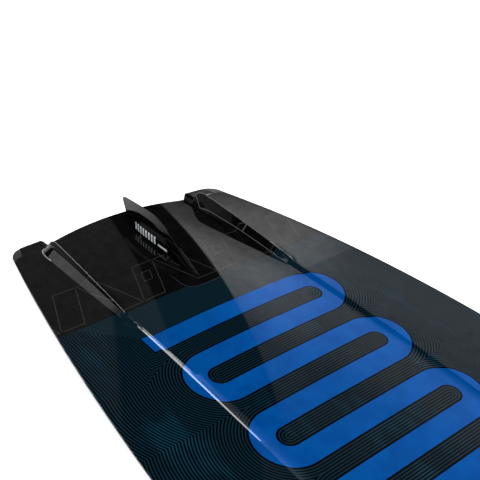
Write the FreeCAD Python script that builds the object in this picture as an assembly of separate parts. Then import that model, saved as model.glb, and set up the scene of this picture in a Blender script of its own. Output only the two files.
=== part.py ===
import FreeCAD, Part
import math
import os

os.makedirs("parts", exist_ok=True)

# A twin-tip wakeboard lying base up. X runs along its length, with the tip at +X and the
# tail at -X, and the fins stand up along +Z. All sizes are in millimetres.

# Driving dimensions of the board
LENGTH = 1390.0
MID_WIDTH = 425.0
END_WIDTH = 263.0
WIDTH_POWER = 2.38
ROCKER = 60.0
ROCKER_POWER = 2.134
MID_THICKNESS = 18.0
END_THICKNESS = 8.5
CROWN = 6.64
CROWN_REACH = 100.0
RAIL_RISE = 6.8
RAIL_RISE_POWER = 2.29
TIP_SAG = 8.8
NOTCH_HALF_WIDTH = 91.5
TAB_REACH = 691.0
TAB_FRONT = 16.0
CORNER_LENGTH = 23.0
CORNER_MIDDLE = (5.5, 3.1)

# The step up to the rails: its top line, and the width of its sloping face, which follows
# its rise along mid board and narrows towards the tips
STEP_TOP_MID, STEP_TOP_END = 104.5, 96.2
STEP_LEAST_WIDTH = 1.5
STEP_WIDTH_PER_RISE = 2.5
STEP_FACE_MID, STEP_FACE_END = 9.2, 4.2
STEP_BLEND = 6

# Skins, from the outside inwards
SHEET = 0.8
LAMINATE = 1.2
EDGE_WALL = 2.2
BEVEL_SLOPE = 1.05
SHOULDER_DROP = 2.5
DECK_FLAT_SHARE = 0.6
EDGE_BAND_WIDTH = 24.0

# Moulded rail fins, which rise from their front to a peak and round off behind it
RAIL_FIN_HEIGHT = 14.3
RAIL_FIN_FRONT = 508.0
RAIL_FIN_PEAK = 657.0
RAIL_FIN_BACK = 674.0
RAIL_FIN_RISE_POWER = 0.75
RAIL_FIN_FLANK = 11.5
RAIL_FIN_CREST = 1.2
RAIL_FIN_KNEE = (0.22, 0.62)
RAIL_FIN_ROOT = 1.0
LEAST_SHARE = 0.05

# Bolted centre fins
FIN_FRONT = 541.0
FIN_REAR = 655.0
FIN_OVERALL = 147.0
FIN_HEIGHT = 32.0
FIN_BLADE_WIDTH = 5.0
FIN_CREST_WIDTH = 1.6
FIN_FOOT_WIDTH = 11.6
FIN_FOOT_TAPER = 0.8
FIN_FOOT_HEIGHT = 8.5
FIN_BLADE_FROM = 14.0
FIN_FOOT_FULLNESS = 3.5
FIN_SCREW_STATIONS = (587.0, 636.0)

# Hardware
SCREW_RADIUS = 3.0
SCREW_HEAD_RADIUS = 5.5
SCREW_HEAD_HEIGHT = 3.3
HEX_SOCKET_ACROSS = 4.0
HEX_SOCKET_DEPTH = 2.0
WASHER_RADIUS = 8.0
WASHER_THICKNESS = 1.2
SLEEVE_RADIUS = 4.6
SLEEVE_BORE = 3.3
FIN_INSERT_RADIUS = 4.2
FIN_INSERT_LENGTH = 8.0
FIN_INSERT_FLANGE_RADIUS = 6.6
FIN_INSERT_FLANGE_THICKNESS = 1.5
SCREW_ENGAGEMENT = 7.0
HARD_POINT_LENGTH = 88.0
HARD_POINT_WIDTH = 26.0

# Binding inserts: two rows of six to each foot
STANCE_CENTRE = 280.0
INSERT_PITCH = 25.4
INSERT_ROW_SPACING = 152.4
INSERTS_IN_ROW = 6
INSERT_RADIUS = 5.0
INSERT_FLANGE_RADIUS = 7.0
INSERT_FLANGE_THICKNESS = 1.5
INSERT_LENGTH = 9.5
INSERT_BORE = 2.5
INSERT_BORE_DEPTH = 8.0
INSERT_RECESS = 0.5
STRIP_LENGTH = 164.0
STRIP_WIDTH = 22.0
STRIP_DEPTH = 12.5

# How far construction shapes reach past the solids they trim or split
OVERHANG = 8.0
OVERREACH = 1.01
FAR_BELOW = -140.0
FAR_ABOVE = 60.0
PLAN_SHOULDER = 60.0
FIN_BURIED = 3.0
BORE_MARGIN = 3.0

HALF_LENGTH = LENGTH / 2
STEPS = 12
STATIONS = [HALF_LENGTH * OVERREACH * math.sin(math.pi / 2 * i / STEPS)
            for i in range(-STEPS, STEPS + 1)]
Vec = FreeCAD.Vector
ALONG_X, ALONG_Y, ALONG_Z = Vec(1, 0, 0), Vec(0, 1, 0), Vec(0, 0, 1)
ORIGIN = Vec(0, 0, 0)


def reach(x):
    """How far along its half length a station is, from 0 at mid board to 1 at the tip."""
    return abs(x) / HALF_LENGTH


def half_width(x):
    flare = (MID_WIDTH - END_WIDTH) / 2
    return END_WIDTH / 2 + flare * (1 - reach(x) ** WIDTH_POWER)


def rocker(x):
    return -ROCKER * reach(x) ** ROCKER_POWER


def thickness(x):
    return END_THICKNESS + (MID_THICKNESS - END_THICKNESS) * (1 - reach(x) ** 2)


def between(middle, end, x):
    return middle + (end - middle) * reach(x) ** 2


def spine(x, y=0.0):
    """Base height inside the rails, where the tips are crowned from side to side."""
    return rocker(x) + CROWN * reach(x) ** 2 * (1 - (y / CROWN_REACH) ** 2)


def rail_top(x):
    """Base height outside the rails."""
    return rocker(x) + RAIL_RISE * reach(x) ** RAIL_RISE_POWER


def step_top(x):
    return between(STEP_TOP_MID, STEP_TOP_END, x)


def step_foot(x):
    rise = rail_top(x) - rocker(x)
    by_rise = STEP_LEAST_WIDTH + STEP_WIDTH_PER_RISE * rise
    widest = STEP_FACE_MID + (STEP_FACE_END - STEP_FACE_MID) * reach(x)
    width = (by_rise ** -STEP_BLEND + widest ** -STEP_BLEND) ** (-1 / STEP_BLEND)
    return step_top(x) - width


def base_slope(x):
    """Slope of the base along the centre line."""
    gap = 1.0
    return (spine(x + gap) - spine(x - gap)) / (2 * gap)


def mirrored(half):
    """A cross-section's points on the +Y side, with the -Y side put in front of them."""
    return [(-y, z) for y, z in reversed(half)] + half[1:]


def base_line(x, depth, overhang):
    """The base's cross-section, lowered by depth and run past the edge by overhang."""
    foot = step_foot(x)
    half = [(foot * i / 3, spine(x, foot * i / 3) - depth) for i in range(4)]
    half.append((step_top(x), rail_top(x) - depth))
    half.append((half_width(x) + overhang, rail_top(x) - depth))
    return mirrored(half)


def deck_edge(x):
    """Where the bevelled edge wall meets the deck, as (y, z)."""
    z = rocker(x) - thickness(x) + SHOULDER_DROP
    wall_height = rail_top(x) - EDGE_WALL - z
    return half_width(x) - wall_height / BEVEL_SLOPE, z


def deck_line(x, rise, overhang):
    """The deck's cross-section, raised by rise towards the base."""
    edge_y, edge_z = deck_edge(x)
    middle = rocker(x) - thickness(x)
    flat_y = DECK_FLAT_SHARE * edge_y
    half = [(0.0, middle + rise), (flat_y, middle + rise)]
    slope = (edge_z - middle) / (edge_y - flat_y)
    half.append((edge_y + overhang, edge_z + slope * overhang + rise))
    return mirrored(half)


def polyline(x, points, closed):
    corners = [Vec(x, y, z) for y, z in points]
    if closed:
        corners.append(corners[0])
    return Part.makePolygon(corners)


def make_blank():
    """The whole board as one lofted solid, before its tips are trimmed."""
    sections = []
    for x in STATIONS:
        top = base_line(x, 0.0, 0.0)
        wall = [(half_width(x), rail_top(x) - EDGE_WALL)]
        bottom = deck_line(x, 0.0, 0.0)
        outline = top + wall + bottom[::-1] + [(-y, z) for y, z in wall]
        sections.append(polyline(x, outline, True))
    return Part.makeLoft(sections, True, False)


def make_interface(line, offset):
    """A sheet between two layers, from the same cross-sections as the blank."""
    return Part.makeLoft([polyline(x, line(x, offset, OVERHANG), False) for x in STATIONS])


def make_plan():
    """The board's plan outline at both ends, as a tall prism that trims the blank."""
    side = MID_WIDTH / 2 + OVERHANG
    corner_x = TAB_REACH - CORNER_LENGTH
    corner_start = Vec(corner_x, half_width(corner_x), 0)
    inset_x, inset_y = CORNER_MIDDLE
    corner_middle = Vec(TAB_REACH - inset_x, half_width(TAB_REACH) - inset_y, 0)
    corner_end = Vec(TAB_REACH - 0.5, STEP_TOP_END + TAB_FRONT, 0)
    tab_inner = Vec(TAB_REACH, STEP_TOP_END, 0)
    notch = Vec(HALF_LENGTH - TIP_SAG, NOTCH_HALF_WIDTH, 0)
    nose = Vec(HALF_LENGTH, 0, 0)

    def flip(point, sx, sy):
        return Vec(point.x * sx, point.y * sy, 0)

    edges = []
    for sx in (1, -1):
        edges.append(Part.Arc(flip(notch, sx, 1), flip(nose, sx, 1), flip(notch, sx, -1)).toShape())
        for sy in (1, -1):
            shoulder = Vec(corner_start.x - PLAN_SHOULDER, side, 0)
            path = [notch, tab_inner, corner_end]
            corners = [flip(point, sx, sy) for point in path]
            edges.append(Part.makePolygon(corners[:2]).Edges[0])
            edges.append(Part.makePolygon(corners[1:]).Edges[0])
            arc_points = [flip(p, sx, sy) for p in (corner_end, corner_middle, corner_start)]
            edges.append(Part.Arc(*arc_points).toShape())
            edges.append(Part.makeLine(flip(corner_start, sx, sy), flip(shoulder, sx, sy)))
    for sy in (1, -1):
        shoulder_x = corner_start.x - PLAN_SHOULDER
        edges.append(Part.makeLine(Vec(-shoulder_x, side * sy, 0), Vec(shoulder_x, side * sy, 0)))
    wire = Part.Wire(Part.__sortEdges__(edges))
    plan = Part.Face(wire).extrude(Vec(0, 0, FAR_ABOVE - FAR_BELOW))
    plan.translate(Vec(0, 0, FAR_BELOW))
    return plan


def make_tip_bevel():
    """What the conical bevel under the tip's end takes off the blank."""
    centre_x = HALF_LENGTH - (NOTCH_HALF_WIDTH ** 2 + TIP_SAG ** 2) / (2 * TIP_SAG)
    edge_radius = math.hypot(TAB_REACH - centre_x, STEP_TOP_END + TAB_FRONT / 2)
    edge_z = rail_top(TAB_REACH) - EDGE_WALL
    drop, rise = 30.0, 8.0
    low_radius = edge_radius - drop / BEVEL_SLOPE
    high_radius = edge_radius + rise / BEVEL_SLOPE
    foot = Vec(centre_x, 0, edge_z - drop)
    cone = Part.makeCone(low_radius, high_radius, drop + rise, foot, ALONG_Z)
    start = TAB_REACH - 3 * EDGE_BAND_WIDTH
    length, side = 4 * EDGE_BAND_WIDTH, MID_WIDTH / 2
    corner = Vec(start, -side, edge_z - drop)
    block = Part.makeBox(length, 2 * side, drop + rise, corner)
    return block.cut(cone)


def make_inner_block():
    """The space inside the moulded edge band."""
    end = HALF_LENGTH - EDGE_BAND_WIDTH
    sections = []
    for i in range(-8, 9):
        x = end * math.sin(math.pi / 2 * i / 8)
        y = half_width(x) - EDGE_BAND_WIDTH
        corners = [(-y, FAR_BELOW), (y, FAR_BELOW), (y, FAR_ABOVE), (-y, FAR_ABOVE)]
        sections.append(polyline(x, corners, True))
    return Part.makeLoft(sections, True, False)


def rail_fin_share(x):
    """Height of a moulded rail fin at a station, as a share of its peak."""
    if x <= RAIL_FIN_PEAK:
        run = (x - RAIL_FIN_FRONT) / (RAIL_FIN_PEAK - RAIL_FIN_FRONT)
        return max(run, 0.0) ** RAIL_FIN_RISE_POWER
    run = (x - RAIL_FIN_PEAK) / (RAIL_FIN_BACK - RAIL_FIN_PEAK)
    return math.sqrt(max(1 - run ** 2, 0.0))


def make_rail_fin(board):
    """One moulded fin on the +Y rail at the tip, shaped to sit on the base."""
    rise, fall = RAIL_FIN_PEAK - RAIL_FIN_FRONT, RAIL_FIN_BACK - RAIL_FIN_PEAK
    stations = [RAIL_FIN_FRONT + rise * i / 8 for i in range(9)]
    stations += [RAIL_FIN_PEAK + fall * math.sin(math.pi / 2 * i / 5) for i in range(1, 6)]
    wires = []
    for x in stations:
        share = max(rail_fin_share(x), LEAST_SHARE)
        foot, crest = step_foot(x), step_top(x)
        flank = RAIL_FIN_FLANK * math.sqrt(share)
        height = RAIL_FIN_HEIGHT * share
        z = rail_top(x) + height
        knee_y, knee_z = RAIL_FIN_KNEE
        low = spine(x, foot) - 2 * EDGE_WALL
        corners = [(foot, low), (foot, low + EDGE_WALL), (crest - RAIL_FIN_CREST * share, z)]
        corners += [(crest, z), (crest + knee_y * flank, rail_top(x) + knee_z * height)]
        corners += [(crest + flank, rail_top(x) - RAIL_FIN_ROOT), (crest + flank, low)]
        wires.append(polyline(x, corners, True))
    return Part.makeLoft(wires, True, True).cut(board)


def make_fin_profile():
    """The centre fin's side view: a long rising front edge and a swept, overhanging tip."""
    run = FIN_REAR - FIN_FRONT

    def at(along, height):
        x = FIN_FRONT + run * along
        return Vec(x, 0, spine(x) + FIN_HEIGHT * height)

    crest = Part.BSplineCurve()
    crest.interpolate([at(0, 0), at(0.24, 0.28), at(0.54, 0.79), at(0.8, 1.02), at(1.22, 0.93)])
    front = at(0, 0) - ALONG_Z * FIN_BURIED
    rear = at(0.99, 0) - ALONG_Z * FIN_BURIED
    trailing = Part.Arc(at(1.22, 0.93), at(1.18, 0.52), at(1.0, 0.12)).toShape()
    edges = [crest.toShape(), trailing, Part.makeLine(at(1.0, 0.12), rear)]
    edges += [Part.makeLine(rear, front), Part.makeLine(front, at(0, 0))]
    return Part.Face(Part.Wire(edges))


def fin_section(x):
    """Half widths of the centre fin at a station: in its crest, in its blade and at its foot."""
    middle, half = (FIN_FRONT + FIN_REAR) / 2, (FIN_REAR - FIN_FRONT) / 2 + 1
    along = min(abs(x - middle) / half, 1.0)
    full = math.sqrt(1 - along ** FIN_FOOT_FULLNESS)
    crest = FIN_CREST_WIDTH / 2
    lean = math.sqrt(min(max((x - FIN_FRONT) / half, 0.0), 1.0))
    blade = crest + (FIN_BLADE_WIDTH / 2 - crest) * lean
    return crest, blade, max(blade, FIN_FOOT_WIDTH / 2 * full)


def make_centre_fin(board):
    """The tip's centre fin: a tapered blade on a foot that takes the two threaded inserts."""
    profile = make_fin_profile()
    profile.translate(Vec(0, -FIN_FOOT_WIDTH / 2, 0))
    plate = profile.extrude(Vec(0, FIN_FOOT_WIDTH, 0))
    wires = []
    start, sections = FIN_FRONT - 1.0, 15
    for i in range(sections):
        x = start + FIN_OVERALL / (sections - 1) * i
        crest, blade, foot = fin_section(x)
        base, above = spine(x), spine(x) + 1.1 * FIN_HEIGHT
        shoulder = max(blade, foot - FIN_FOOT_TAPER)
        half = [(0.0, above), (crest, above), (blade, base + FIN_BLADE_FROM)]
        half += [(shoulder, base + FIN_FOOT_HEIGHT), (foot, base + 0.4), (foot, base - 2 * FIN_BURIED)]
        wires.append(polyline(x, half + [(-y, z) for y, z in reversed(half[1:])], True))
    return plate.common(Part.makeLoft(wires, True, True)).cut(board)


def normal_axis():
    """The direction that stands square off the base under the centre fin."""
    slope = base_slope(sum(FIN_SCREW_STATIONS) / 2)
    return Vec(-slope, 0, 1).normalize()


def column(start, direction, radius, low, high):
    """A cylinder along a direction, between two distances from its start point."""
    foot = start + direction * low
    return Part.makeCylinder(radius, high - low, foot, direction)


def make_fin_insert(point):
    """The space of one threaded insert, with the flange that it stands on."""
    up = normal_axis()
    body = column(point, up, FIN_INSERT_RADIUS, 0, FIN_INSERT_LENGTH)
    flange = column(point, up, FIN_INSERT_FLANGE_RADIUS, -1, FIN_INSERT_FLANGE_THICKNESS)
    return body.fuse(flange).removeSplitter()


def screw_points():
    return [Vec(x, 0, spine(x)) for x in FIN_SCREW_STATIONS]


def deck_depth(x):
    """Distance along the screw from the base to the deck."""
    up = normal_axis()
    slope = (rocker(x + 1) - thickness(x + 1) - rocker(x - 1) + thickness(x - 1)) / 2
    gap = spine(x) - rocker(x) + thickness(x)
    return gap / (up.z - slope * up.x)


def make_screw(point):
    up = normal_axis()
    under_head = -deck_depth(point.x) - WASHER_THICKNESS
    shank = column(point, up, SCREW_RADIUS, under_head, SCREW_ENGAGEMENT)
    head_end = under_head - SCREW_HEAD_HEIGHT
    head = column(point, up, SCREW_HEAD_RADIUS, head_end, under_head)
    corner = HEX_SOCKET_ACROSS / math.sqrt(3)
    hexagon = [Vec(corner * math.cos(math.pi / 3 * i), corner * math.sin(math.pi / 3 * i), 0)
               for i in range(7)]
    socket = Part.Face(Part.makePolygon(hexagon)).extrude(Vec(0, 0, HEX_SOCKET_DEPTH))
    turn = FreeCAD.Rotation(ALONG_Z, up)
    socket.Placement = FreeCAD.Placement(point + up * head_end, turn)
    edges = [edge for edge in head.Edges if edge.BoundBox.ZMax < (point + up * under_head).z - 1]
    return shank.fuse(head.makeFillet(1.2, edges[:1])).cut(socket).removeSplitter()


def tilted_block(centre, size_x, size_y, low, high, slope):
    """A block whose long side follows a slope along X."""
    block = Part.makeBox(size_x, size_y, high - low, Vec(-size_x / 2, -size_y / 2, low))
    angle = -math.degrees(math.atan(slope))
    block.Placement = FreeCAD.Placement(centre, FreeCAD.Rotation(ALONG_Y, angle))
    return block


def insert_places(side):
    """Mouth points of the six threaded inserts in one row at the tip."""
    places = []
    for i in range(INSERTS_IN_ROW):
        x = STANCE_CENTRE + (i - (INSERTS_IN_ROW - 1) / 2) * INSERT_PITCH
        z = rocker(x) - thickness(x) + INSERT_RECESS
        places.append(Vec(x, side * INSERT_ROW_SPACING / 2, z))
    return places


def make_insert(mouth):
    body = column(mouth, ALONG_Z, INSERT_RADIUS, 0, INSERT_LENGTH)
    flange_from = INSERT_LENGTH - INSERT_FLANGE_THICKNESS
    flange = column(mouth, ALONG_Z, INSERT_FLANGE_RADIUS, flange_from, INSERT_LENGTH)
    bore = column(mouth, ALONG_Z, INSERT_BORE, -1, INSERT_BORE_DEPTH)
    return body.fuse(flange).removeSplitter().cut(bore)


def make_insert_space(mouth):
    """What one insert takes out of the layers round it, with its way out through the deck."""
    way_out = column(mouth, ALONG_Z, INSERT_RADIUS, -4, INSERT_LENGTH)
    flange_from = INSERT_LENGTH - INSERT_FLANGE_THICKNESS
    flange = column(mouth, ALONG_Z, INSERT_FLANGE_RADIUS, flange_from, INSERT_LENGTH)
    return way_out.fuse(flange)


def turned(shape):
    """The same part at the tail: half a turn about the board's middle."""
    copy = shape.copy()
    copy.rotate(ORIGIN, ALONG_Z, 180)
    return copy


def across(shape):
    """The same part on the other side of the centre line."""
    return shape.mirror(ORIGIN, ALONG_Y)


def split_layers(board):
    """The board's five layers from base to deck, sharing their faces."""
    interfaces = [make_interface(base_line, SHEET), make_interface(base_line, SHEET + LAMINATE)]
    interfaces += [make_interface(deck_line, LAMINATE + SHEET), make_interface(deck_line, SHEET)]
    pieces, _ = board.generalFuse(interfaces)
    layers = sorted(pieces.Solids, key=lambda solid: -solid.CenterOfMass.z)
    assert len(layers) == 5, len(layers)
    return layers


bevel = make_tip_bevel()
board = make_blank().common(make_plan()).cut([bevel, turned(bevel)])
base_sheet, base_laminate, filling, deck_laminate, deck_sheet = split_layers(board)
inner_block = make_inner_block()
edge_band = filling.cut(inner_block)
core = filling.common(inner_block)

nodes = {}

# Pieces of the +Y side of the tip, repeated at the other three corners
tip_left_fin = make_rail_fin(board)
fin = make_centre_fin(board)
up = normal_axis()
inserts_in_fin = [make_fin_insert(point) for point in screw_points()]
threads = [column(p, up, SCREW_RADIUS, -1, SCREW_ENGAGEMENT) for p in screw_points()]
fin_space = Part.makeCompound(inserts_in_fin)
fin_inserts = Part.makeCompound([
    insert.cut(board).cut(thread) for insert, thread in zip(inserts_in_fin, threads)
])
fin_screws = Part.makeCompound([make_screw(point) for point in screw_points()])
washers = []
sleeves = []
sleeve_spaces = []
for point in screw_points():
    depth = deck_depth(point.x)
    disc = column(point, up, WASHER_RADIUS, -depth - WASHER_THICKNESS, -depth + 0.6)
    bore = column(point, up, SLEEVE_BORE, -depth - BORE_MARGIN, BORE_MARGIN)
    washers.append(disc.cut(board).cut(bore))
    tube = column(point, up, SLEEVE_RADIUS, -depth - BORE_MARGIN, BORE_MARGIN).common(board)
    sleeve_spaces.append(tube)
    sleeves.append(tube.cut(bore))
middle_x = sum(FIN_SCREW_STATIONS) / 2
hard_point = tilted_block(
    Vec(middle_x, 0, spine(middle_x)), HARD_POINT_LENGTH, HARD_POINT_WIDTH, -30, 20,
    base_slope(middle_x),
).common(core)
fin_pieces = {
    "centre_fin": fin.cut(fin_space),
    "fin_inserts": fin_inserts,
    "fin_screws": fin_screws,
    "fin_washers": Part.makeCompound(washers),
    "fin_sleeves": Part.makeCompound(sleeves),
    "fin_hard_point": hard_point,
}

layers = {
    "base_sheet": base_sheet,
    "base_laminate": base_laminate,
    "core": core,
    "deck_laminate": deck_laminate,
    "deck_sheet": deck_sheet,
}

for end, place in (("tip", lambda shape: shape.copy()), ("tail", turned)):
    for name, shape in fin_pieces.items():
        nodes[f"{name}_{end}"] = place(shape)
    spaces = [place(space) for space in sleeve_spaces]
    for name in layers:
        layers[name] = layers[name].cut(spaces)
    layers["core"] = layers["core"].cut(nodes[f"fin_hard_point_{end}"])
    nodes[f"fin_hard_point_{end}"] = nodes[f"fin_hard_point_{end}"].cut(spaces)
    nodes[f"rail_fin_{end}_left"] = place(tip_left_fin)
    nodes[f"rail_fin_{end}_right"] = place(across(tip_left_fin))
    for side_name, side in (("left", 1), ("right", -1)):
        mouths = insert_places(side)
        deck_z = rocker(STANCE_CENTRE) - thickness(STANCE_CENTRE)
        slope = (mouths[-1].z - mouths[0].z) / (mouths[-1].x - mouths[0].x)
        centre = Vec(STANCE_CENTRE, mouths[0].y, deck_z)
        block = tilted_block(centre, STRIP_LENGTH, STRIP_WIDTH, -5, STRIP_DEPTH, slope)
        strip = place(block).common(layers["core"])
        insert_spaces = [place(make_insert_space(mouth)) for mouth in mouths]
        layers["core"] = layers["core"].cut(place(block))
        nodes[f"insert_strip_{end}_{side_name}"] = strip.cut(insert_spaces)
        for name in ("deck_laminate", "deck_sheet"):
            layers[name] = layers[name].cut(insert_spaces)
        inserts = [place(make_insert(mouth)) for mouth in mouths]
        nodes[f"binding_inserts_{end}_{side_name}"] = Part.makeCompound(inserts)

nodes.update(layers)
nodes["edge_band"] = edge_band

# The board stands on the deck edges of its two ends, with the lowest point at Z = 0.
lowest = min(shape.optimalBoundingBox().ZMin for shape in nodes.values())
for name, shape in nodes.items():
    shape.translate(Vec(0, 0, -lowest))
    shape.exportStep(f"parts/{name}.step")
    box = shape.BoundBox
    print(name, len(shape.Solids), shape.isValid(), round(shape.Volume),
          [round(v, 1) for v in (box.XMin, box.XMax, box.YMin, box.YMax, box.ZMin, box.ZMax)])
print("base centre stands at", round(-lowest, 3))
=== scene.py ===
import bpy
import math
import numpy as np
from mathutils import Matrix, Vector


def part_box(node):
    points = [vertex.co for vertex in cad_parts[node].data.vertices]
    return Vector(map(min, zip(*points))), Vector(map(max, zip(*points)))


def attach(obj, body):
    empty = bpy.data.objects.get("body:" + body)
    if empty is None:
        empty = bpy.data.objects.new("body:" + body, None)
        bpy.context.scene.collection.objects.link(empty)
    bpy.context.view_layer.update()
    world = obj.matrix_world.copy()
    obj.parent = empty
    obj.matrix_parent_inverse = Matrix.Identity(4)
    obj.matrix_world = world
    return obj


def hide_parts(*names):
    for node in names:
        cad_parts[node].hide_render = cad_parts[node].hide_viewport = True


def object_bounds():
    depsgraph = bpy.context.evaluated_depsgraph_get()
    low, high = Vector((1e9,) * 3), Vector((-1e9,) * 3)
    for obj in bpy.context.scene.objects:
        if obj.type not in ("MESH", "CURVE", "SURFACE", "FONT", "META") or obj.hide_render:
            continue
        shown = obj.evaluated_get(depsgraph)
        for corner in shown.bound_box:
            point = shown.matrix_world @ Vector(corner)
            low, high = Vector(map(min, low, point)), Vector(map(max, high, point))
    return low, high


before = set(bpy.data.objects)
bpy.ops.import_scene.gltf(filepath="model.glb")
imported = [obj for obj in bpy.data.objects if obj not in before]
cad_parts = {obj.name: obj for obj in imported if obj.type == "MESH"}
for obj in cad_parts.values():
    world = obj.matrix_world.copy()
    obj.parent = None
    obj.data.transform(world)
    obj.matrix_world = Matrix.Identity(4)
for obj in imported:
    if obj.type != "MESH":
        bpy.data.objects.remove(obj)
CAD_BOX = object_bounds()

# The board's shape in millimetres, as the CAD model has it. The frame gives its length,
# its width and the height of the middle of its base above the floor.
MM = 0.001
HALF_LENGTH = CAD_BOX[1][0] / MM
MID_WIDTH = 2 * CAD_BOX[1][1] / MM
BASE_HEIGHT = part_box("base_sheet")[1].z / MM
END_WIDTH, WIDTH_POWER = 263.0, 2.38
ROCKER, ROCKER_POWER = 60.0, 2.134
CROWN, CROWN_REACH = 6.64, 100.0
RAIL_RISE, RAIL_RISE_POWER = 6.8, 2.29
STEP_TOP_MID, STEP_TOP_END = 104.5, 96.2
STEP_LEAST_WIDTH, STEP_WIDTH_PER_RISE = 1.5, 2.5
STEP_FACE_MID, STEP_FACE_END = 9.2, 4.2
STEP_BLEND = 6
TIP_SAG, NOTCH_HALF_WIDTH = 8.8, 91.5
TAB_REACH, TAB_FRONT, TAB_SWEEP = 691.0, 16.0, 0.5
CORNER_LENGTH, CORNER_INSET = 23.0, (5.5, 3.1)
SHEET = 0.8

# Moulded rail fins
RAIL_FIN_HEIGHT = 14.3
RAIL_FIN_FRONT, RAIL_FIN_PEAK, RAIL_FIN_BACK = 508.0, 657.0, 674.0
RAIL_FIN_RISE_POWER = 0.75
RAIL_FIN_FLANK = 11.5
FIN_FACE_WIDTH = 4.9
# Where the painted highlight lines along a moulded fin's edges begin, and where a painted highlight
# line crosses its face
FIN_HIGHLIGHTS_FROM = 530.0
HOOK_AT = 585.0
KNEE_ACROSS, KNEE_HEIGHT = 0.22, 0.62

# Bolted centre fins, with an outline that differs from the CAD blades by up to 4 mm
FIN_FRONT, FIN_REAR, FIN_TOP, FIN_TIP = 541.0, 656.0, 633.0, 682.5
FIN_HEIGHT, FIN_TIP_DROP, FIN_TIP_ROUND = 32.8, 1.5, 5.5
FIN_TIP_LOW = 28.0
BEVEL_FROM = 600.0
FIN_PLATE, FIN_EDGE = 5.0, 1.2
FIN_FOOT_WIDTH, FIN_FOOT_HEIGHT, FIN_BLADE_FROM = 11.6, 8.5, 19.0

# Printed pattern: a blue stripe that runs back and forth across the base, with contour
# lines round it, and a charcoal zone at each end
TIP_ZONE = 535.0
FIRST_BAR = 481.2
BAR_PITCH = 44.3
BARS = 10
BAR_HALF = 11.1
TURN_CENTRE = 78.0
BAR_END = 108.0
CONTOUR_PITCH = 2.75
SHIELD_FRONT, SHIELD_HALF, SHIELD_ROUND = 529.0, 24.0, 14.0
SHIELD_LINE_FADES = (566.0, 548.0)

# Outlined shapes across the charcoal zone: slanted ones, the middle three with a smaller one inside
SHAPE_PITCH, SHAPE_MIDDLE = 46.0, 567.0
SHAPE_HALF_LENGTH, SHAPE_HALF_BREADTH = 27.0, 12.5
SHAPE_LEANS = (0.42, -0.3)
INNER_INSET, INNER_SHIFT, INNER_HALF_LENGTH = 7.5, 6.0, 7.0

# Bars and dash on the side of the centre fin
FIN_BAR_PITCH, FIN_BAR_SHARE, FIN_BAR_SLANT = 5.2, 0.29, 0.35
FIN_BARS_AT, FIN_BARS_HALF = (629.0, 7.8), (20.8, 3.9)
FIN_DASH_AT, FIN_DASH_HALF = (597.5, 5.6), (8.0, 1.2)

# Gloss of the base film
INK_COAT, BLUE_COAT, BLUE_METALLIC = 0.5, 0.42, 0.4
CREST_COAT_WIDTH = 3.2
MATT_SHARE = 0.85


# Shape formulas, in millimetres, with the base's middle at z = 0
def reach(x):
    return np.abs(x) / HALF_LENGTH


def half_width(x):
    return END_WIDTH / 2 + (MID_WIDTH - END_WIDTH) / 2 * (1 - reach(x) ** WIDTH_POWER)


def rocker(x):
    return -ROCKER * reach(x) ** ROCKER_POWER


def ramp(x, start, end):
    """0 at start, 1 at end, and a straight change between them."""
    return np.clip((x - start) / (end - start), 0, 1)


def spine(x, y=0.0):
    return rocker(x) + CROWN * reach(x) ** 2 * (1 - (y / CROWN_REACH) ** 2)


def rail_top(x):
    return rocker(x) + RAIL_RISE * reach(x) ** RAIL_RISE_POWER


def step_top(x):
    return STEP_TOP_MID + (STEP_TOP_END - STEP_TOP_MID) * reach(x) ** 2


def step_foot(x):
    by_rise = STEP_LEAST_WIDTH + STEP_WIDTH_PER_RISE * (rail_top(x) - rocker(x))
    widest = STEP_FACE_MID + (STEP_FACE_END - STEP_FACE_MID) * reach(x)
    width = (by_rise ** -STEP_BLEND + widest ** -STEP_BLEND) ** (-1 / STEP_BLEND)
    return step_top(x) - width


def rail_fin_share(x):
    """A moulded fin's height at a station, as a share of its peak."""
    x = np.abs(x)
    rise = ramp(x, RAIL_FIN_FRONT, RAIL_FIN_PEAK)
    fall = ramp(x, RAIL_FIN_PEAK, RAIL_FIN_BACK)
    return rise ** RAIL_FIN_RISE_POWER * np.sqrt(1 - fall ** 2)


def circle_through(a, b, c):
    """Centre and radius of the circle through three points."""
    rows = np.array([[b[0] - a[0], b[1] - a[1]], [c[0] - a[0], c[1] - a[1]]])
    right = np.array([b[0] ** 2 - a[0] ** 2 + b[1] ** 2 - a[1] ** 2,
                      c[0] ** 2 - a[0] ** 2 + c[1] ** 2 - a[1] ** 2]) / 2
    centre = np.linalg.solve(rows, right)
    return centre, math.hypot(a[0] - centre[0], a[1] - centre[1])


CORNER_START = (TAB_REACH - CORNER_LENGTH, float(half_width(TAB_REACH - CORNER_LENGTH)))
CORNER_MIDDLE = (TAB_REACH - CORNER_INSET[0], float(half_width(TAB_REACH)) - CORNER_INSET[1])
CORNER_END = (TAB_REACH - TAB_SWEEP, STEP_TOP_END + TAB_FRONT)
CORNER = circle_through(CORNER_START, CORNER_MIDDLE, CORNER_END)
NOSE = circle_through((HALF_LENGTH, 0.0), (HALF_LENGTH - TIP_SAG, NOTCH_HALF_WIDTH),
                      (HALF_LENGTH - TIP_SAG, -NOTCH_HALF_WIDTH))


def end_reach(y):
    """How far along the board its end lies, at a distance y from the centre line."""
    y = np.abs(y)
    nose = NOSE[0][0] + np.sqrt(NOSE[1] ** 2 - np.minimum(y, NOTCH_HALF_WIDTH) ** 2)
    jog = ramp(y, NOTCH_HALF_WIDTH, STEP_TOP_END)
    tab = TAB_REACH - TAB_SWEEP * np.clip((y - STEP_TOP_END) / TAB_FRONT, 0, 1)
    across = np.minimum(np.abs(y - CORNER[0][1]), CORNER[1])
    corner = CORNER[0][0] + np.sqrt(CORNER[1] ** 2 - across ** 2)
    x = nose + (tab - nose) * jog
    return np.where(y > CORNER_END[1], np.minimum(corner, tab), x)


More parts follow.
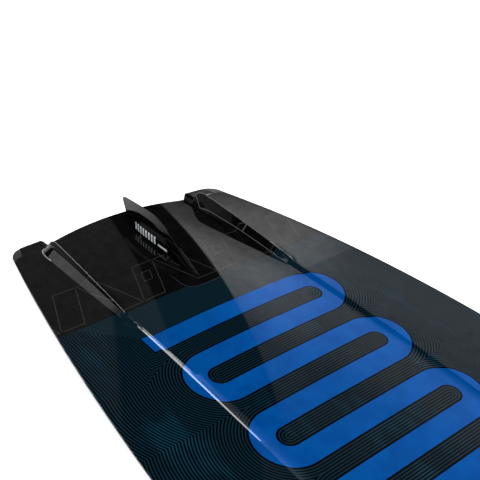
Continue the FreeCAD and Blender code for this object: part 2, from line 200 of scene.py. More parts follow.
def new_object(name, verts, faces, materials, crease, face_materials=None):
    """A mesh object from millimetre points that stand on the base's middle height."""
    mesh = bpy.data.meshes.new(name)
    points = (np.asarray(verts, float) + [0, 0, BASE_HEIGHT]) * MM
    mesh.from_pydata(points.tolist(), [], faces)
    for material in materials:
        mesh.materials.append(material)
    if face_materials is not None:
        mesh.polygons.foreach_set("material_index", np.asarray(face_materials, np.int32))
    mesh.polygons.foreach_set("use_smooth", np.ones(len(mesh.polygons), bool))
    mesh.set_sharp_from_angle(angle=math.radians(crease))
    mesh.validate()
    obj = bpy.data.objects.new(name, mesh)
    bpy.context.scene.collection.objects.link(obj)
    return obj


# Shader formulas: numbers that vary over a surface
class Number:
    """A socket that can be used in arithmetic."""

    def __init__(self, tree, socket):
        self.tree = tree
        self.socket = socket

    def math(self, operation, *others):
        node = self.tree.nodes.new("ShaderNodeMath")
        node.operation = operation
        for slot, value in zip(node.inputs, (self, *others)):
            plug(self.tree, slot, value)
        return Number(self.tree, node.outputs[0])

    def __add__(self, other):
        return self.math("ADD", other)

    __radd__ = __add__

    def __sub__(self, other):
        return self.math("SUBTRACT", other)

    def __mul__(self, other):
        return self.math("MULTIPLY", other)

    __rmul__ = __mul__

    def __truediv__(self, other):
        return self.math("DIVIDE", other)

    def __neg__(self):
        return self.math("MULTIPLY", -1.0)

    def abs(self):
        return self.math("ABSOLUTE")

    def min(self, other):
        return self.math("MINIMUM", other)

    def max(self, other):
        return self.math("MAXIMUM", other)

    def below(self, other):
        return self.math("LESS_THAN", other)

    def above(self, other):
        return self.math("GREATER_THAN", other)

    def nearest(self):
        return self.math("ROUND")

    def part(self):
        return self.math("FRACT")

    def clamped(self, low, high):
        return self.max(low).min(high)

    def hypot(self, other):
        return (self * self + other * other).math("SQRT")

    def fade(self, start, end):
        """0 at start, 1 at end, and a smooth change between them."""
        node = self.tree.nodes.new("ShaderNodeMapRange")
        node.interpolation_type = "SMOOTHSTEP"
        plug(self.tree, node.inputs["Value"], self)
        node.inputs["From Min"].default_value = start
        node.inputs["From Max"].default_value = end
        return Number(self.tree, node.outputs["Result"])

    def pick(self, when_one, when_zero):
        """One number where this is 1, and the other where it is 0."""
        return self * (-when_zero + when_one) + when_zero


def plug(tree, slot, value):
    if isinstance(value, Number):
        tree.links.new(value.socket, slot)
    elif isinstance(value, bpy.types.NodeSocket):
        tree.links.new(value, slot)
    else:
        slot.default_value = value


class Surface:
    """A Principled material with its node tree."""

    def __init__(self, name, **settings):
        self.material = bpy.data.materials.new(name)
        self.material.use_nodes = True
        self.tree = self.material.node_tree
        self.shader = self.tree.nodes["Principled BSDF"]
        for key, value in settings.items():
            socket = key.replace("_", " ").title().replace("Ior", "IOR")
            self.shader.inputs[socket].default_value = value

    def position(self):
        """The point on the object in millimetres, as three numbers."""
        where = self.tree.nodes.new("ShaderNodeTexCoord")
        split = self.tree.nodes.new("ShaderNodeSeparateXYZ")
        self.tree.links.new(where.outputs["Object"], split.inputs[0])
        return [Number(self.tree, split.outputs[i]) * 1000.0 for i in range(3)]

    def noise(self, scale, detail=3.0, roughness=0.5, stretch=(1, 1, 1)):
        where = self.tree.nodes.new("ShaderNodeTexCoord")
        mapping = self.tree.nodes.new("ShaderNodeMapping")
        mapping.inputs["Scale"].default_value = stretch
        node = self.tree.nodes.new("ShaderNodeTexNoise")
        node.inputs["Scale"].default_value = scale
        node.inputs["Detail"].default_value = detail
        node.inputs["Roughness"].default_value = roughness
        self.tree.links.new(where.outputs["Object"], mapping.inputs[0])
        self.tree.links.new(mapping.outputs[0], node.inputs["Vector"])
        return Number(self.tree, node.outputs["Fac"])

    def attribute(self, name):
        node = self.tree.nodes.new("ShaderNodeAttribute")
        node.attribute_name = name
        return Number(self.tree, node.outputs["Fac"])

    def mix(self, factor, low, high):
        """A colour between two colours."""
        node = self.tree.nodes.new("ShaderNodeMix")
        node.data_type = "RGBA"
        plug(self.tree, node.inputs[0], factor)
        for slot, colour in ((node.inputs[6], low), (node.inputs[7], high)):
            plug(self.tree, slot, colour if isinstance(colour, bpy.types.NodeSocket) else (*colour, 1))
        return node.outputs[2]

    def colour(self, value):
        plug(self.tree, self.shader.inputs["Base Color"], value)

    def roughness(self, value):
        plug(self.tree, self.shader.inputs["Roughness"], value)

    def bump(self, height, distance):
        node = self.tree.nodes.new("ShaderNodeBump")
        node.inputs["Distance"].default_value = distance
        plug(self.tree, node.inputs["Height"], height)
        self.tree.links.new(node.outputs[0], self.shader.inputs["Normal"])


BLUE = (0.0, 0.118, 0.49)
BLUE_DEEP = (0.0, 0.094, 0.42)
INK = (0.0005, 0.0006, 0.0008)
TEAL = (0.0040, 0.019, 0.031)
TEAL_BRIGHT = (0.005, 0.036, 0.060)
TEAL_BAND = (0.0015, 0.0065, 0.009)
CHARCOAL = (0.0016, 0.0016, 0.0017)
CHARCOAL_LIGHT = (0.0042, 0.0040, 0.0039)
OUTLINE = (0.030, 0.031, 0.034)
# Pale grey painted highlight colour for the lines along the moulded fins' edges
RIM_HIGHLIGHT = (0.30, 0.30, 0.32)


def stripe_distance(x, y):
    """Distance in millimetres to the edge of the blue stripe: below 0 inside it.

    x is measured from mid board towards either end, y across it. Bars lie across the
    board and are joined in pairs by round turns, each side with pairs of its own.
    """
    place = (x - FIRST_BAR) * (-1.0 / BAR_PITCH)

    def turns(first, last_pair, overrun):
        pair = ((place - first) * 0.5).nearest().clamped(0.0, float(last_pair))
        away = (place - pair * 2.0 - first) * BAR_PITCH
        bend = away.hypot(overrun.max(0.0))
        return (bend - BAR_PITCH / 2).abs() - BAR_HALF

    minus_side = turns(0.5, BARS // 2 - 1, -y - TURN_CENTRE)
    plus_side = turns(1.5, BARS // 2 - 2, y - TURN_CENTRE)
    single = place.above(BARS / 2 - 0.5) * (BARS - 1.0)
    end_bar = ((place - single).abs() * BAR_PITCH - BAR_HALF).max(y - BAR_END)
    return y.above(0.0).pick(plus_side.min(end_bar), minus_side)


def shield_distance(x, y):
    """Distance to the rounded black field that the centre fin stands in."""
    ahead = -x + (SHIELD_FRONT + SHIELD_ROUND)
    aside = y.abs() - (SHIELD_HALF - SHIELD_ROUND)
    return ahead.max(0.0).hypot(aside.max(0.0)) + ahead.max(aside).min(0.0) - SHIELD_ROUND


def outlined_shapes(x, y):
    """1 on the thin outlines of slanted four-sided shapes that cross the charcoal zone."""
    cell = (y / SHAPE_PITCH).nearest()
    lean = (cell * 0.5).part().abs().above(0.25).pick(*SHAPE_LEANS)
    past_middle = x - SHAPE_MIDDLE
    sideways = (y - cell * SHAPE_PITCH + lean * past_middle).abs() - SHAPE_HALF_BREADTH
    shape = sideways.max(past_middle.abs() - SHAPE_HALF_LENGTH)
    inner = (sideways + INNER_INSET).max((past_middle - INNER_SHIFT).abs() - INNER_HALF_LENGTH)
    return shape.abs().below(0.45).max(inner.abs().below(0.4) * cell.abs().below(1.5))


def reach_past_crest(x, y):
    """Distance outwards from the crest of the rail's step."""
    reach_squared = (x / HALF_LENGTH) * (x / HALF_LENGTH)
    return y.abs() - (reach_squared * (STEP_TOP_END - STEP_TOP_MID) + STEP_TOP_MID)


def fin_edge_highlights(x, y):
    """1 on the pale painted highlight lines that edge a moulded fin: its crest, its end and its inner
    foot.
    """
    past_crest = reach_past_crest(x, y)
    on_fin = x.above(FIN_HIGHLIGHTS_FROM) * x.below(RAIL_FIN_BACK)
    crest = (past_crest - 0.06).abs().below(0.2) * on_fin
    run = (x - RAIL_FIN_PEAK) / (RAIL_FIN_BACK - RAIL_FIN_PEAK)
    wide = past_crest / RAIL_FIN_FLANK
    round_end = wide.math("POWER", 4.0) + run * run - 1.0
    slope = (wide.math("POWER", 3.0) * (4.0 / RAIL_FIN_FLANK)).hypot(
        run * (2.0 / (RAIL_FIN_BACK - RAIL_FIN_PEAK)))
    end = round_end.abs().below(slope * 0.55) * x.above(RAIL_FIN_PEAK - 8.0)
    end = end * past_crest.above(0.0)
    turn = run.clamped(0.0, 1.0)
    foot = (past_crest + FIN_FACE_WIDTH * (-turn + 1.0) - 0.1).abs().below(0.13)
    hook = (x - HOOK_AT).abs().below(0.5) * past_crest.below(0.0) * (
        past_crest + FIN_FACE_WIDTH).above(0.0)
    return crest.max(end).max(foot.max(hook) * on_fin * 0.5)


def base_print():
    """Gloss base film: the blue stripe and its contour lines, and charcoal at the ends, with painted
    highlight lines along the moulded fins' edges.
    """
    s = Surface("base_print", specular_ior_level=0.0, coat_roughness=0.015)
    x, y = s.position()[:2]
    side = x.above(0.0) * 2.0 - 1.0
    away, across = x.abs(), y * side
    distance = stripe_distance(away, across)
    phase = distance / CONTOUR_PITCH
    off_line = ((phase + 0.5).part() - 0.5).abs()
    bar_edge = FIRST_BAR + BAR_HALF
    band = away.above(bar_edge) * (away - bar_edge).above((across - BAR_END).max(0.0))
    line = off_line.fade(0.30, 0.20) * phase.above(0.5)
    glint = s.noise(11.0, 3.0, 0.6, (1.0, 3.0, 1.0)).fade(0.50, 0.66)
    ink = s.mix(band, INK, TEAL_BAND)
    printed = s.mix(line, ink, s.mix(glint * (-band * 0.8 + 1.0), TEAL, TEAL_BRIGHT))
    mottle = s.noise(38.0, 4.0, 0.6)
    inside = distance.below(0.0)
    printed = s.mix(inside, printed, s.mix(mottle.fade(0.35, 0.65), BLUE_DEEP, BLUE))
    charcoal = away.above(TIP_ZONE)
    fleck = s.noise(75.0, 6.0, 0.72)
    shield = shield_distance(away, across)
    ground = s.mix(fleck.fade(0.3, 0.75), CHARCOAL, CHARCOAL_LIGHT)
    plain = charcoal.max(shield.below(0.0))
    printed = s.mix(plain, printed, ground)
    edging = shield.abs().below(0.4) * away.fade(*SHIELD_LINE_FADES)
    lines = (outlined_shapes(away, across) * charcoal).max(edging)
    printed = s.mix(lines, printed, OUTLINE)
    # Pale grey lines along the moulded fins' crests, ends and inner feet are painted highlights, mixed
    # over the print
    s.colour(s.mix(fin_edge_highlights(away, across), printed, RIM_HIGHLIGHT))
    s.roughness(s.noise(140.0, 3.0).fade(0.2, 0.9) * 0.12 + 0.18)
    film = inside.pick(BLUE_COAT, line.max(band) * (1.0 - INK_COAT) + INK_COAT)
    coat = plain.pick(1.0, film) * (fleck.fade(0.25, 0.75) * 0.3 + 0.7)
    crest = reach_past_crest(away, across)
    coat = coat.max(crest.above(-CREST_COAT_WIDTH) * crest.below(0.2) * away.below(FIN_HIGHLIGHTS_FROM))
    coat = coat * (-s.attribute("matt") * MATT_SHARE + 1.0)
    plug(s.tree, s.shader.inputs["Coat Weight"], coat)
    plug(s.tree, s.shader.inputs["Metallic"], inside * (-plain + 1.0) * BLUE_METALLIC)
    return s.material


def fin_gloss():
    """Polished black composite with a row of slanted white bars and a dash."""
    s = Surface("fin_gloss", specular_ior_level=0.0, coat_weight=0.1, coat_roughness=0.03)
    x, _, z = s.position()
    away = x.abs()
    height = z - BASE_HEIGHT + (away / HALF_LENGTH).math("POWER", ROCKER_POWER) * ROCKER
    height = height - (away / HALF_LENGTH) * (away / HALF_LENGTH) * CROWN
    along = away - height * FIN_BAR_SLANT

    def patch(centre, half):
        inside_length = (along - centre[0]).abs().below(half[0])
        return inside_length * (height - centre[1]).abs().below(half[1])

    bars = ((along / FIN_BAR_PITCH).part() - 0.5).abs().below(FIN_BAR_SHARE)
    bars = bars * patch(FIN_BARS_AT, FIN_BARS_HALF)
    dash = patch(FIN_DASH_AT, FIN_DASH_HALF)
    white = bars.max(dash)
    scuff = s.noise(90.0, 5.0, 0.65).fade(0.5, 0.8)
    ground = s.mix(scuff, (0.0016, 0.0016, 0.0018), (0.003, 0.003, 0.0033))
    s.colour(s.mix(white, ground, (0.66, 0.70, 0.72)))
    s.roughness(scuff * 0.1 + 0.16)
    return s.material


def fin_bevel():
    """Machined edge of the fin: dark matt grey, blended towards the tip into a paler grey that is a
    painted highlight.
    """
    s = Surface("fin_bevel", specular_ior_level=0.4)
    grain = s.noise(900.0, 3.0, 0.6, (1, 1, 0.15))
    # Towards the tip the bevel colour blends into a paler grey: a painted highlight
    along = s.position()[0].abs().fade(BEVEL_FROM - 10, FIN_TIP)
    dark = s.mix(grain.fade(0.25, 0.8), (0.007, 0.007, 0.0075), (0.016, 0.016, 0.017))
    pale = s.mix(grain.fade(0.25, 0.8), (0.048, 0.048, 0.050), (0.085, 0.085, 0.089))
    s.colour(s.mix(along, dark, pale))
    s.roughness(grain * 0.2 + 0.45)
    s.bump(grain, 0.0001)
    return s.material


def urethane():
    s = Surface("edge_urethane", specular_ior_level=0.5)
    grain = s.noise(700.0, 4.0, 0.6)
    scuff = s.noise(60.0, 6.0, 0.7, (0.2, 1, 1)).fade(0.52, 0.75)
    s.colour(s.mix(scuff, (0.006, 0.006, 0.0065), (0.02, 0.02, 0.021)))
    s.roughness(grain * 0.15 + 0.33)
    s.bump(grain, 0.00008)
    return s.material


def laminate():
    s = Surface("glass_laminate", specular_ior_level=0.5)
    weave = s.noise(1500.0, 2.0, 0.5, (1, 0.1, 1))
    s.colour(s.mix(weave, (0.012, 0.013, 0.012), (0.05, 0.055, 0.045)))
    s.roughness(weave * 0.2 + 0.3)
    return s.material


STANCE, OVAL_RADIUS, OVAL_SQUEEZE, DECK_LINE_PITCH = 280.0, 118.0, 0.8, 6.5


def deck_print():
    """Satin deck film: black with faint contour lines and a blue band at each foot."""
    s = Surface("deck_print", specular_ior_level=0.5, coat_weight=0.6, coat_roughness=0.12)
    x, y = s.position()[:2]
    oval = ((x.abs() - STANCE) * OVAL_SQUEEZE).hypot(y) - OVAL_RADIUS
    phase = oval / DECK_LINE_PITCH
    line = ((phase + 0.5).part() - 0.5).abs().fade(0.17, 0.1) * oval.above(12.0)
    glint = s.noise(7.0, 2.0).fade(0.45, 0.7)
    ink = s.mix(line, (0.006, 0.0065, 0.007), (0.006, 0.05, 0.07))
    ink = s.mix(line * glint, ink, TEAL_BRIGHT)
    ring = (oval + 1.0).abs().below(4.0)
    s.colour(s.mix(ring, ink, BLUE))
    grain = s.noise(800.0, 3.0)
    s.roughness(grain * 0.12 + 0.3)
    s.bump(grain, 0.00005)
    return s.material


def metal(name, low, high, rough):
    s = Surface(name, metallic=1.0)
    grain = s.noise(500.0, 3.0, 0.6, (1, 1, 6))
    s.colour(s.mix(grain, low, high))
    s.roughness(grain * 0.15 + rough)
    s.bump(grain, 0.00003)
    return s.material


def block():
    s = Surface("hard_block", specular_ior_level=0.4)
    grain = s.noise(400.0, 4.0)
    s.colour(s.mix(grain, (0.01, 0.01, 0.011), (0.03, 0.03, 0.032)))
    s.roughness(grain * 0.2 + 0.5)
    s.bump(grain, 0.0001)
    return s.material


def foam():
    s = Surface("core_foam", specular_ior_level=0.3)
    cells = s.noise(1200.0, 4.0, 0.7)
    s.colour(s.mix(cells, (0.62, 0.5, 0.24), (0.8, 0.68, 0.4)))
    s.roughness(cells * 0.2 + 0.7)
    s.bump(cells, 0.0003)
    return s.material


# Base skin
INNER_COLUMNS, FACE_COLUMNS, FLANK_COLUMNS, OUTER_COLUMNS = 12, 12, 12, 18
WARP_FROM = 600.0
WARP_STEPS = (400, 1900)
EDGE_SOFT, EDGE_DROP, EDGE_COLUMNS = 0.9, 0.45, 4
SKIN_CREASE, FIN_CREASE = 20.0, 25.0
CLOSER_FROM, CLOSEST_FROM = 490.0, 654.0
SHOULDER_WIDTH, SHOULDER_SLOPE = 2.5, 0.4
FACE_POWER, FACE_BLEND = 1.2, 0.4

# Each pair of stations is where a change is nothing and where it is full
FOOT_HOLLOW, HOLLOW_GROWS, HOLLOW_ENDS = 2.4, (520.0, 590.0), (668.0, 640.0)
RAIL_TILT, TILT_GROWS = 0.032, (600.0, 690.0)
FACE_MATT_GROWS, FLANK_MATT_GROWS = (530.0, 560.0), (500.0, 505.0)
FIN_MATT_ENDS = (672.0, 667.0)
FRONT_MATT, FRONT_MATT_ENDS = 0.8, (548.0, 536.0)


def stations():
    """Distances along one half of the board, closer together where the shape turns."""
    middle = np.linspace(0, CLOSER_FROM, 62)[:-1]
    front = np.linspace(CLOSER_FROM, TIP_ZONE, 16)[:-1]
    fins = np.linspace(TIP_ZONE, CLOSEST_FROM, 60)[:-1]
    end = np.linspace(CLOSEST_FROM, HALF_LENGTH - EDGE_SOFT, 66)[:-1]
    edge = HALF_LENGTH - EDGE_SOFT * (1 - np.linspace(0, 1, EDGE_COLUMNS + 1))
    return np.concatenate([middle, front, fins, end, edge])


def half_section(x):
    """One cross-section from the centre line to the +Y edge: y, z and matt at each column."""
    crest, edge = step_top(x), half_width(x)
    share = rail_fin_share(x)
    hollow = ramp(x, *HOLLOW_GROWS) * ramp(x, *HOLLOW_ENDS)
    foot = step_foot(x) - FOOT_HOLLOW * hollow
    outer = crest + RAIL_FIN_FLANK * np.sqrt(share)
    peak = rail_top(x) + RAIL_FIN_HEIGHT * share
    start = spine(x, foot)
    rise = rail_top(x) - start
    face_matt = ramp(x, *FACE_MATT_GROWS)
    fin_there = ramp(x, *FIN_MATT_ENDS)
    front_matt = FRONT_MATT * ramp(x, *FLANK_MATT_GROWS) * ramp(x, *FRONT_MATT_ENDS)
    flank_matt = ramp(x, *FLANK_MATT_GROWS) * fin_there
    points = []
    for i in range(INNER_COLUMNS):
        y = foot * i / INNER_COLUMNS
        points.append((y, spine(x, y), 0))
    for i in range(FACE_COLUMNS + 1):
        t = i / FACE_COLUMNS
        inward = (crest - foot) * (1 - t)
        beyond = rise - SHOULDER_SLOPE * SHOULDER_WIDTH
        drop = SHOULDER_SLOPE * np.minimum(inward, SHOULDER_WIDTH)
        rest = np.maximum(crest - foot - SHOULDER_WIDTH, 0.1)
        drop = drop + beyond * np.clip((inward - SHOULDER_WIDTH) / rest, 0, 1)
        even = 1 - np.where(beyond > 0.2, drop / rise, 1 - t)
        lift = t ** FACE_POWER * share ** FACE_BLEND + even * (1 - share ** FACE_BLEND)
        points.append((foot + (crest - foot) * t, start + (peak - start) * lift,
                       face_matt if t < 1 else face_matt * fin_there))
    for i in range(1, FLANK_COLUMNS + 1):
        t = i / FLANK_COLUMNS
        upper = 1 - (1 - KNEE_HEIGHT) * t / KNEE_ACROSS
        lower = KNEE_HEIGHT * (1 - t) / (1 - KNEE_ACROSS)
        height = (peak - rail_top(x)) * (upper if t < KNEE_ACROSS else lower)
        points.append((crest + (outer - crest) * t, rail_top(x) + height,
                       flank_matt if t < KNEE_ACROSS else front_matt))
    tilt = RAIL_TILT * ramp(x, *TILT_GROWS)
    across = [outer + (edge - EDGE_SOFT - outer) * i / OUTER_COLUMNS
              for i in range(1, OUTER_COLUMNS + 1)]
    across += [edge - EDGE_SOFT * (1 - i / EDGE_COLUMNS) for i in range(1, EDGE_COLUMNS + 1)]
    for y in across:
        points.append((y, rail_top(x) - tilt * (y - outer), 0))
    return np.array(points).T


def make_half():
    """The +Y half of one end as a grid of x, y, z and matt, drawn out to the plan outline."""
    xs = stations()
    tabled = np.concatenate([np.linspace(0, WARP_FROM, WARP_STEPS[0] + 1)[:-1],
                             np.linspace(WARP_FROM, HALF_LENGTH, WARP_STEPS[1] + 1)])
    table = np.array([half_section(x) for x in tabled])
    columns = []
    for column in range(table.shape[2]):
        ys, zs, matts = table[:, :, column].T
        ends = end_reach(ys)
        past = np.maximum(tabled - WARP_FROM, 0)
        drawn = past * (HALF_LENGTH - WARP_FROM) / (ends - WARP_FROM)
        real = np.interp(xs, np.minimum(tabled, WARP_FROM) + drawn, tabled)
        y, z, matt = (np.interp(real, tabled, values) for values in (ys, zs, matts))
        to_edge = np.minimum(half_width(real) - y, end_reach(y) - real)
        near = np.clip(1 - to_edge / EDGE_SOFT, 0, 1)
        columns.append(np.stack([real, y, z - EDGE_DROP * near ** 2, matt], axis=1))
    return np.stack(columns, axis=1)


def make_base_skin():
    half = make_half()
    quarter = half[:, 1:][:, ::-1] * [1, -1, 1, 1]
    whole = np.concatenate([quarter, half], axis=1)
    other = (whole[1:] * [-1, -1, 1, 1])[::-1][:, ::-1]
    grid = np.concatenate([other, whole], axis=0)
    n, m = grid.shape[:2]
    top = grid[:, :, :3].reshape(-1, 3)
    verts = np.concatenate([top, top - [0, 0, SHEET]])
    index = np.arange(n * m).reshape(n, m)
    faces = []
    for i in range(n - 1):
        for j in range(m - 1):
            quad = (index[i, j], index[i + 1, j], index[i + 1, j + 1], index[i, j + 1])
            faces.append(tuple(int(v) for v in quad))
            faces.append(tuple(int(v) + n * m for v in reversed(quad)))
    ring = [*index[0, :-1], *index[:-1, -1], *index[-1, :0:-1], *index[:0:-1, 0]]
    for a, b in zip(ring, ring[1:] + ring[:1]):
        faces.append((int(a), int(b), int(b) + n * m, int(a) + n * m))
    base = new_object("base_skin", verts, faces, [base_print()], SKIN_CREASE)
    matt = np.concatenate([grid[:, :, 3].reshape(-1)] * 2)
    attribute = base.data.attributes.new("matt", "FLOAT", "POINT")
    attribute.data.foreach_set("value", matt.astype(np.float32))
    return base


# Centre fins
FIN_BURIED = 1.5
FIN_RISE_POWER, FIN_SWEEP_POWER = 1.4, 1.33
BEVEL_DEPTH, BEVEL_STEP, BEVEL_STEP_AT = 0.9, 6.4, (BEVEL_FROM - 8, BEVEL_FROM + 14)
BEVEL_LAST, BEVEL_LAST_AT = 5.6, (648.0, 676.0)
THINNING_DEPTH, THINNING_ENDS = 14.0, (588.0, 612.0)
PLATE_FULL_AT = 610.0
UNDERSIDE_THINNING = 2.5
FOOT_FULLNESS, FOOT_TAPER, FLARE_POWER = 3.5, 0.14, 0.6
PLATE_LEVELS, BEVEL_LEVELS = 22, 5


def smooth(value, start, end):
    t = ramp(value, start, end)
    return t * t * (3 - 2 * t)


def fin_crest(x):
    """Height of the fin's top edge above the base."""
    rise = FIN_HEIGHT * np.sin(math.pi / 2 * ramp(x, FIN_FRONT, FIN_TOP) ** FIN_RISE_POWER)
    back = ramp(x, FIN_TOP, FIN_TIP - FIN_TIP_ROUND)
    end = ramp(x, FIN_TIP - FIN_TIP_ROUND, FIN_TIP)
    last = FIN_HEIGHT - FIN_TIP_DROP - FIN_TIP_LOW
    return rise - FIN_TIP_DROP * back ** 2 - last * (1 - np.sqrt(1 - end ** 2))


def fin_underside(x):
    """Height of the fin's lower edge: buried over its foot, rising under the swept tip."""
    run = ramp(x, FIN_REAR, FIN_TIP)
    return -FIN_BURIED + (FIN_TIP_LOW + FIN_BURIED) * run ** FIN_SWEEP_POWER


def fin_band(x):
    """Depth below its top edge that the fin is bevelled down to."""
    step = BEVEL_STEP * smooth(x, *BEVEL_STEP_AT)
    return BEVEL_DEPTH + step + BEVEL_LAST * smooth(x, *BEVEL_LAST_AT)


def fin_half_width(x, height, top, low):
    """Half the fin's thickness: a blade that thins to its edges, on a wider foot."""
    full_plate = math.sqrt(smooth(x, FIN_FRONT, PLATE_FULL_AT))
    plate = FIN_EDGE / 2 + (FIN_PLATE - FIN_EDGE) / 2 * full_plate
    thinning = THINNING_DEPTH + (float(fin_band(x)) - THINNING_DEPTH) * smooth(x, *THINNING_ENDS)
    blade = FIN_EDGE / 2 + (plate - FIN_EDGE / 2) * np.clip((top - height) / thinning, 0, 1)
    under = np.clip((height - low) / UNDERSIDE_THINNING, 0, 1) if x > FIN_REAR else 1.0
    blade = min(blade, FIN_EDGE / 2 + (plate - FIN_EDGE / 2) * under)
    middle, half = (FIN_FRONT + FIN_REAR) / 2, (FIN_REAR - FIN_FRONT) / 2 + 1
    full = math.sqrt(max(1 - min(abs(x - middle) / half, 1.0) ** FOOT_FULLNESS, 0.0))
    near = 1 - FOOT_TAPER * np.clip(height / FIN_FOOT_HEIGHT, 0, 1)
    near = near * (1 - smooth(height, FIN_FOOT_HEIGHT, FIN_BLADE_FROM))
    flare = (FIN_FOOT_WIDTH / 2 * full - blade) * near
    fade = np.clip((top - height) / FIN_FOOT_HEIGHT, 0, 1) ** FLARE_POWER
    return blade + max(flare, 0.0) * fade


def make_centre_fin(name, sign, gloss, bevel_material):
    xs = np.concatenate([np.linspace(FIN_FRONT, FIN_FRONT + 8, 6)[:-1],
                         np.linspace(FIN_FRONT + 8, FIN_TIP - 6, 64)[:-1],
                         np.linspace(FIN_TIP - 6, FIN_TIP, 9)])
    columns = []
    for x in xs:
        top, low = float(fin_crest(x)), float(fin_underside(x))
        top = max(top, low + 0.2)
        split = max(top - float(fin_band(x)), low + 0.1 * (top - low))
        heights = list(np.linspace(low, split, PLATE_LEVELS))
        heights += list(np.linspace(split, top, BEVEL_LEVELS + 1)[1:])
        base = float(spine(x))
        column = []
        for height in heights:
            column.append((x, fin_half_width(x, height, top, low), base + height))
        columns.append(column)
    side = np.array(columns)
    n, m = side.shape[:2]
    verts = np.concatenate([side.reshape(-1, 3), (side * [1, -1, 1]).reshape(-1, 3)])
    index = np.arange(n * m).reshape(n, m)
    other = index + n * m
    faces, kinds = [], []

    def add(a, b, c, d, kind):
        faces.append((int(a), int(b), int(c), int(d)))
        kinds.append(kind)

    for i in range(n - 1):
        for j in range(m - 1):
            kind = int(j >= PLATE_LEVELS - 1)
            add(index[i, j], index[i, j + 1], index[i + 1, j + 1], index[i + 1, j], kind)
            add(other[i, j], other[i + 1, j], other[i + 1, j + 1], other[i, j + 1], kind)
        add(index[i, m - 1], other[i, m - 1], other[i + 1, m - 1], index[i + 1, m - 1],
            int(xs[i] > BEVEL_FROM))
        add(index[i, 0], index[i + 1, 0], other[i + 1, 0], other[i, 0], 0)
    for j in range(m - 1):
        add(index[0, j], other[0, j], other[0, j + 1], index[0, j + 1], 0)
        add(index[n - 1, j], index[n - 1, j + 1], other[n - 1, j + 1], other[n - 1, j], 1)
    verts = verts * [sign, sign, 1]
    return new_object(name, verts, faces, [gloss, bevel_material], FIN_CREASE, kinds)


base_skin = make_base_skin()
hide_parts("base_sheet", *[f"rail_fin_{end}_{side}"
            for end in ("tip", "tail") for side in ("left", "right")])
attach(base_skin, "root")

gloss, bevelled = fin_gloss(), fin_bevel()
for end, sign in (("tip", 1), ("tail", -1)):
    blade = make_centre_fin(f"fin_blade_{end}", sign, gloss, bevelled)
    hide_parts(f"centre_fin_{end}")
    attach(blade, "root")

# Finishes of the CAD nodes that stay
brass = metal("brass", (0.42, 0.30, 0.19), (0.56, 0.42, 0.28), 0.22)
steel = metal("stainless", (0.45, 0.45, 0.46), (0.62, 0.62, 0.63), 0.2)
alloy = metal("sleeve_alloy", (0.6, 0.61, 0.62), (0.75, 0.76, 0.77), 0.25)
finishes = {"base_laminate": laminate(), "deck_laminate": laminate(), "core": foam(),
            "deck_sheet": deck_print(), "edge_band": urethane()}
hard = block()
by_start = {"fin_inserts": brass, "binding_inserts": brass, "fin_screws": steel,
            "fin_washers": steel, "fin_sleeves": alloy, "fin_hard_point": hard,
            "insert_strip": hard}
for name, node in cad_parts.items():
    material = finishes.get(name)
    for start, finish in by_start.items():
        if name.startswith(start):
            material = finish
    if material is not None:
        node.data.materials.clear()
        node.data.materials.append(material)

# Floor: its glow, its spokes, and the radius and height of each ring in metres
FLOOR_GLOW = 0.8
SPOKES = 96
RINGS = [(10.0, 0.0), (12.0, 0.12), (13.0, 0.4), (13.6, 0.9), (14.0, 1.8)]


def pale_floor():
    s = Surface("studio_floor", specular_ior_level=0.2)
    grain = s.noise(3.0, 4.0)
    s.colour(s.mix(grain, (0.86, 0.86, 0.86), (0.9, 0.9, 0.9)))
    s.roughness(grain * 0.1 + 0.6)
    s.shader.inputs["Emission Color"].default_value = (1, 1, 1, 1)
    s.shader.inputs["Emission Strength"].default_value = FLOOR_GLOW
    s.material.cycles.emission_sampling = "NONE"
    return s.material


def make_floor():
    """A flat round floor whose far rim curves up, so that it fills a low view's background."""
    verts = [(0.0, 0.0, 0.0)]
    for radius, height in RINGS:
        for k in range(SPOKES):
            turn = 2 * math.pi * k / SPOKES
            verts.append((radius * math.cos(turn), radius * math.sin(turn), height))
    faces = [(0, 1 + k, 1 + (k + 1) % SPOKES) for k in range(SPOKES)]
    for ring in range(len(RINGS) - 1):
        inner, outer = 1 + ring * SPOKES, 1 + (ring + 1) * SPOKES
        for k in range(SPOKES):
            after = (k + 1) % SPOKES
            faces.append((inner + k, outer + k, outer + after, inner + after))
    mesh = bpy.data.meshes.new("floor")
    mesh.from_pydata(verts, [], faces)
    mesh.polygons.foreach_set("use_smooth", [True] * len(faces))
    mesh.materials.append(pale_floor())
    floor = bpy.data.objects.new("floor", mesh)
    bpy.context.scene.collection.objects.link(floor)


make_floor()


def area_light(name, place, facing, width, height, radiance, mirrored=True):
    """A rectangular light at a place in metres, which glossy surfaces may or may not mirror."""
    light = bpy.data.lights.new(name, "AREA")
    light.shape = "RECTANGLE"
    light.size, light.size_y = width, height
    light.energy = radiance * math.pi * width * height
    lamp = bpy.data.objects.new(name, light)
    lamp.location = place
    lamp.rotation_euler = (-Vector(facing)).to_track_quat("Z", "Y").to_euler()
    lamp.visible_camera = False
    lamp.visible_glossy = mirrored
    bpy.context.scene.collection.objects.link(lamp)
    return light


LIT_POINT = 0.45


def softbox(name, azimuth, elevation, distance, size, radiance, mirrored):
    """A square light that faces the board's tip from a direction in degrees."""
    a, e = math.radians(azimuth), math.radians(elevation)
    towards = Vector((math.cos(a) * math.cos(e), math.sin(a) * math.cos(e), math.sin(e)))
    place = Vector((LIT_POINT, 0.0, BASE_HEIGHT * MM)) + towards * distance
    return area_light(name, place, -towards, size, size, radiance, mirrored)


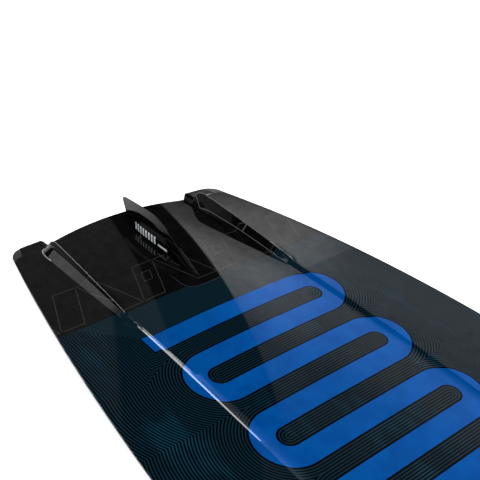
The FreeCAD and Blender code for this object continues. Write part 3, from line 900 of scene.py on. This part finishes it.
# A tall soft panel beside the board, brightest low down, with a dark slit in it that leans
WALL_Y, WALL_LEFT, WALL_RIGHT, WALL_TOP = -1.8, -1.4, 6.2, 3.4
WALL_TINT = (1.0, 1.0, 1.02)
STRIP_TOP, STRIP_GLOW, STRIP_EXTRA = 0.42, 3.6, 1.4
SLIT_START, START_LEAN = 3.24, 0.42
SLIT_END, END_LEAN = 4.13, 0.21
BEYOND_SLIT = 0.13
STRIP_FADE = 0.04
WALL_GLOW = [(STRIP_TOP, STRIP_GLOW), (STRIP_TOP + STRIP_FADE, 0.18), (0.7, 0.34),
             (1.22, 1.28), (1.45, 1.08), (1.9, 0.36), (2.6, 0.1)]
NEAR_SHARE, NEAR_TO_FAR, STRIP_EXTRA_FADES = 0.55, (1.8, 2.25), (2.1, 1.5)


def make_wall():
    width, height = WALL_RIGHT - WALL_LEFT, WALL_TOP
    middle = ((WALL_LEFT + WALL_RIGHT) / 2, WALL_Y, height / 2 + BASE_HEIGHT * MM)
    light = area_light("wall", middle, (0, 1, 0), width, height, 1.0)
    light.color = WALL_TINT
    light.use_nodes = True
    tree = light.node_tree
    spot = tree.nodes.new("ShaderNodeNewGeometry")
    split = tree.nodes.new("ShaderNodeSeparateXYZ")
    tree.links.new(spot.outputs["Parametric"], split.inputs[0])
    x = Number(tree, split.outputs[0]) * width + WALL_LEFT
    z = Number(tree, split.outputs[1]) * height
    steps = [z.fade(low, high) * (end - start)
             for (low, start), (high, end) in zip(WALL_GLOW, WALL_GLOW[1:])]
    glow = (sum(steps) + STRIP_GLOW) * (x.fade(*NEAR_TO_FAR) * (1 - NEAR_SHARE) + NEAR_SHARE)
    extra = z.fade(STRIP_TOP + STRIP_FADE, STRIP_TOP) * x.fade(*STRIP_EXTRA_FADES)
    glow = glow + extra * STRIP_EXTRA
    before = (x + z * START_LEAN).fade(SLIT_START + 0.02, SLIT_START - 0.02)
    beyond = (x + z * END_LEAN).fade(SLIT_END - 0.04, SLIT_END + 0.04)
    strength = glow * before + beyond * BEYOND_SLIT
    plug(tree, tree.nodes["Emission"].inputs["Strength"], strength)


make_wall()
softbox("key", 150.0, 56.0, 3.4, 1.5, 18.0, False)
softbox("side_fill", 24.0, 27.0, 1.4, 0.66, 1.3, True)

world = bpy.data.worlds.new("studio")
bpy.context.scene.world = world
world.use_nodes = True
world.node_tree.nodes["Background"].inputs["Color"].default_value = (0.012, 0.0125, 0.0135, 1)

# Camera
CAMERA_PLACE = (34.5, 488.5, 541.5)
CAMERA_AZIMUTH, CAMERA_DIP, CAMERA_ROLL = -46.57, 36.40, 11.187
LENS = 67.0


def make_camera():
    a, e, roll = (math.radians(v) for v in (CAMERA_AZIMUTH, CAMERA_DIP, CAMERA_ROLL))
    ahead = Vector((math.cos(a) * math.cos(e), math.sin(a) * math.cos(e), -math.sin(e)))
    level = ahead.cross(Vector((0, 0, 1))).normalized()
    upright = level.cross(ahead)
    right = level * math.cos(roll) + upright * math.sin(roll)
    up = upright * math.cos(roll) - level * math.sin(roll)
    data = bpy.data.cameras.new("camera")
    data.lens = LENS
    data.sensor_width = 36.0
    data.clip_start, data.clip_end = 0.01, 60.0
    camera = bpy.data.objects.new("camera", data)
    turn = Matrix((right, up, -ahead)).transposed()
    place = (Vector(CAMERA_PLACE) + Vector((0, 0, BASE_HEIGHT))) * MM
    camera.matrix_world = Matrix.Translation(place) @ turn.to_4x4()
    bpy.context.scene.collection.objects.link(camera)
    bpy.context.scene.camera = camera


make_camera()
bpy.context.scene.view_settings.view_transform = "Standard"
